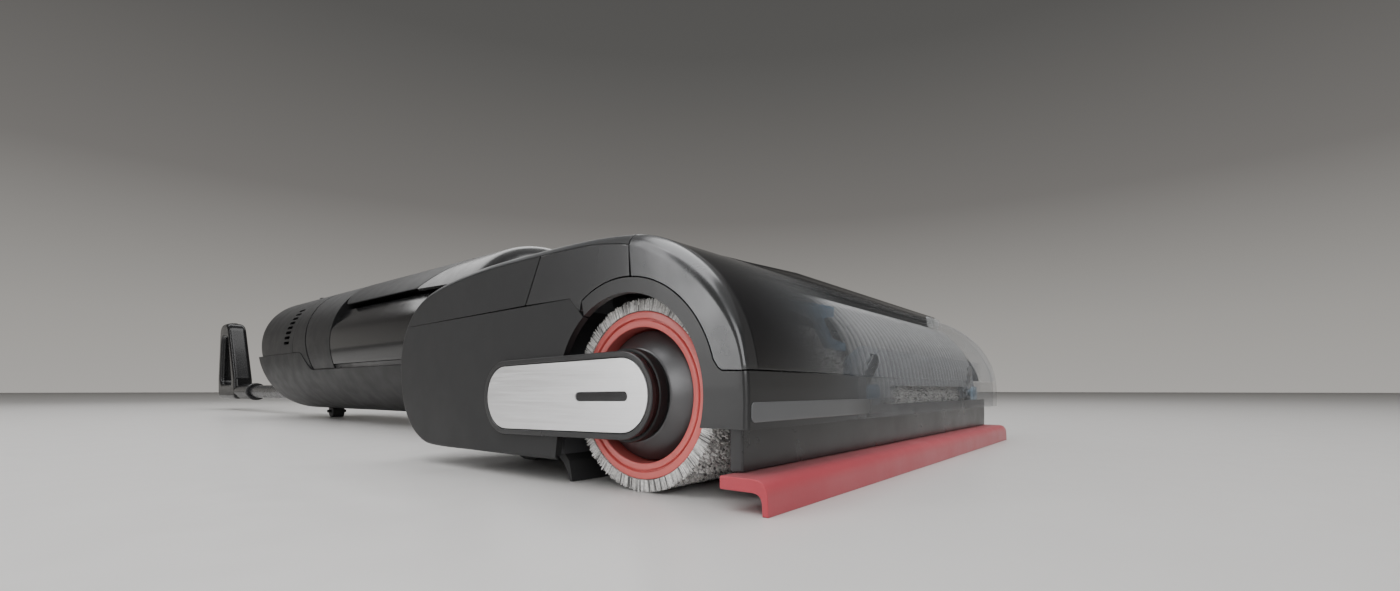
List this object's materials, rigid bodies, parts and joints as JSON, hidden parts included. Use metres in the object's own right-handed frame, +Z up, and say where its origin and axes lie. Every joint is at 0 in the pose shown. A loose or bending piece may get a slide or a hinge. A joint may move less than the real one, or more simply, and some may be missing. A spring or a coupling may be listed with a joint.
{
  "type": "upright vacuum cleaner",
  "caption": "Lie-flat upright wet and dry vacuum floor washer: powered roller head, lifting red squeegee, tilting body with lift-out tanks, tubular rod and loop grip.",
  "frame": {"origin": "floor level under the middle of the machine's length and width, lying flat", "axes": "+Z up from the floor, -Y the way the cleaning head faces, -X the side with the open roller end and its arm"},
  "size_m": [0.272, 1.0832, 0.1318],
  "materials": {
    "charcoal_plastic": "satin",
    "panel_plastic": "satin",
    "grey_frame": "satin",
    "gloss_black": "gloss",
    "shell_plastic": "satin",
    "tank_smoke": "smoked, gloss",
    "visor_clear": "smoked, gloss",
    "hood_clear": "ribbed, translucent",
    "tag_grey": "satin",
    "trim_black": "gloss",
    "inner_plastic": "moulded",
    "red_plastic": "satin",
    "red_rubber": "soft",
    "black_rubber": "matt",
    "pile_fabric": "dense short pile",
    "brushed_plate": "fine brushed",
    "motor_steel": "plain",
    "pin_steel": "ground",
    "rod_metal": "satin black",
    "contact_brass": "bright",
    "wheel_tyre": "matt",
    "board_glass": "gloss",
    "battery_wrap": "satin"
  },
  "bodies": {
    "head": {"head_chassis": "inner_plastic", "head_screws": "pin_steel", "head_top_cover": "charcoal_plastic", "side_panel_right": "panel_plastic", "side_panel_left": "panel_plastic", "end_frame_right": "grey_frame", "end_frame_left": "grey_frame", "front_band": "charcoal_plastic", "tag_strip": "tag_grey", "visor_trim": "trim_black", "roller_hood": "hood_clear", "rear_suction_lip": "black_rubber", "suction_duct": "inner_plastic", "spray_bar": "inner_plastic", "roller_motor": "motor_steel", "drive_belt": "black_rubber", "trunnion_pin": "pin_steel", "traction_motors": "inner_plastic", "lift_motor": "motor_steel"},
    "visor": {"visor": "visor_clear"},
    "roller": {"roller_core": "inner_plastic", "roller_pile": "pile_fabric", "roller_ring": "red_plastic", "hub_cone": "gloss_black", "roller_pulley": "inner_plastic"},
    "drive_pulley": {"motor_pulley": "pin_steel"},
    "arm": {"roller_arm": "gloss_black", "arm_plate": "brushed_plate", "arm_slot_insert": "trim_black"},
    "squeegee": {"squeegee_carrier": "charcoal_plastic", "squeegee_blade": "red_rubber"},
    "cam": {"cam_slider": "hood_clear"},
    "wheel_right": {"wheel_hub_right": "inner_plastic", "wheel_tyre_right": "wheel_tyre"},
    "wheel_left": {"wheel_hub_left": "inner_plastic", "wheel_tyre_left": "wheel_tyre"},
    "neck": {"neck_yoke": "charcoal_plastic", "swivel_pin": "pin_steel", "neck_hose": "black_rubber"},
    "body": {"swivel_lug": "inner_plastic", "lower_shell": "shell_plastic", "charge_contacts": "contact_brass", "trim_ring": "trim_black", "motor_housing": "charcoal_plastic", "rear_cap": "charcoal_plastic", "display": "board_glass", "suction_motor": "motor_steel", "battery_pack": "battery_wrap", "water_pump": "inner_plastic", "handle_rod": "rod_metal", "rod_collar": "gloss_black", "handle_grip": "gloss_black"},
    "dirty_tank": {"dirty_water_tank": "tank_smoke", "tank_inlet": "inner_plastic", "hump_cover": "gloss_black"},
    "clean_tank": {"clean_water_tank": "charcoal_plastic"},
    "power_key": {"power_button": "trim_black"},
    "mode_key": {"mode_button": "trim_black"},
    "release_key": {"tank_release": "trim_black"},
    "rear_roller": {"support_roller": "black_rubber"}
  },
  "joints": [
    {"name": "body_tilt", "type": "hinge", "parent": "head", "child": "neck", "pos_m": [0, -0.37935, 0.035], "axis": [1, 0, 0], "range_deg": [0, 90]},
    {"name": "body_swivel", "type": "hinge", "parent": "neck", "child": "body", "pos_m": [0, -0.34435, 0.035], "axis": [0, 0, 1], "range_deg": [-30, 30]},
    {"name": "roller_spin", "type": "hinge", "parent": "head", "child": "roller", "pos_m": [0, -0.49435, 0.028], "axis": [1, 0, 0], "continuous": true},
    {"name": "drive_pulley_spin", "type": "hinge", "parent": "head", "child": "drive_pulley", "pos_m": [0, -0.43235, 0.038], "axis": [1, 0, 0], "continuous": true},
    {"name": "arm_pull", "type": "slide", "parent": "head", "child": "arm", "axis": [-1, 0, 0], "range_m": [0, 0.015]},
    {"name": "squeegee_lift", "type": "slide", "parent": "head", "child": "squeegee", "axis": [0, 0, 1], "range_m": [0, 0.01]},
    {"name": "cam_slide", "type": "slide", "parent": "head", "child": "cam", "axis": [-1, 0, 0], "range_m": [0, 0.0065]},
    {"name": "visor_lift", "type": "slide", "parent": "head", "child": "visor", "axis": [0, 0, 1], "range_m": [0, 0.04]},
    {"name": "wheel_right_spin", "type": "hinge", "parent": "head", "child": "wheel_right", "pos_m": [0, -0.40235, 0.018], "axis": [1, 0, 0], "continuous": true},
    {"name": "wheel_left_spin", "type": "hinge", "parent": "head", "child": "wheel_left", "pos_m": [0, -0.40235, 0.018], "axis": [1, 0, 0], "continuous": true},
    {"name": "dirty_tank_lift", "type": "slide", "parent": "body", "child": "dirty_tank", "axis": [0, 0, 1], "range_m": [0, 0.09]},
    {"name": "clean_tank_lift", "type": "slide", "parent": "body", "child": "clean_tank", "axis": [0, 0, 1], "range_m": [0, 0.09]},
    {"name": "power_press", "type": "slide", "parent": "body", "child": "power_key", "axis": [0, 0, -1], "range_m": [0, 0.0012], "stiffness_N_per_m": 400},
    {"name": "mode_press", "type": "slide", "parent": "body", "child": "mode_key", "axis": [0, 0, -1], "range_m": [0, 0.0012], "stiffness_N_per_m": 400},
    {"name": "release_press", "type": "slide", "parent": "body", "child": "release_key", "axis": [0, 0, -1], "range_m": [0, 0.002], "stiffness_N_per_m": 500},
    {"name": "rear_roller_spin", "type": "hinge", "parent": "body", "child": "rear_roller", "pos_m": [0, 0.09565, 0.0065], "axis": [1, 0, 0], "continuous": true}
  ],
  "couplings": [
    {"joint": "drive_pulley_spin", "follows": "roller_spin", "ratio": 1.5},
    {"joint": "cam_slide", "follows": "squeegee_lift", "ratio": 0.65}
  ]
}
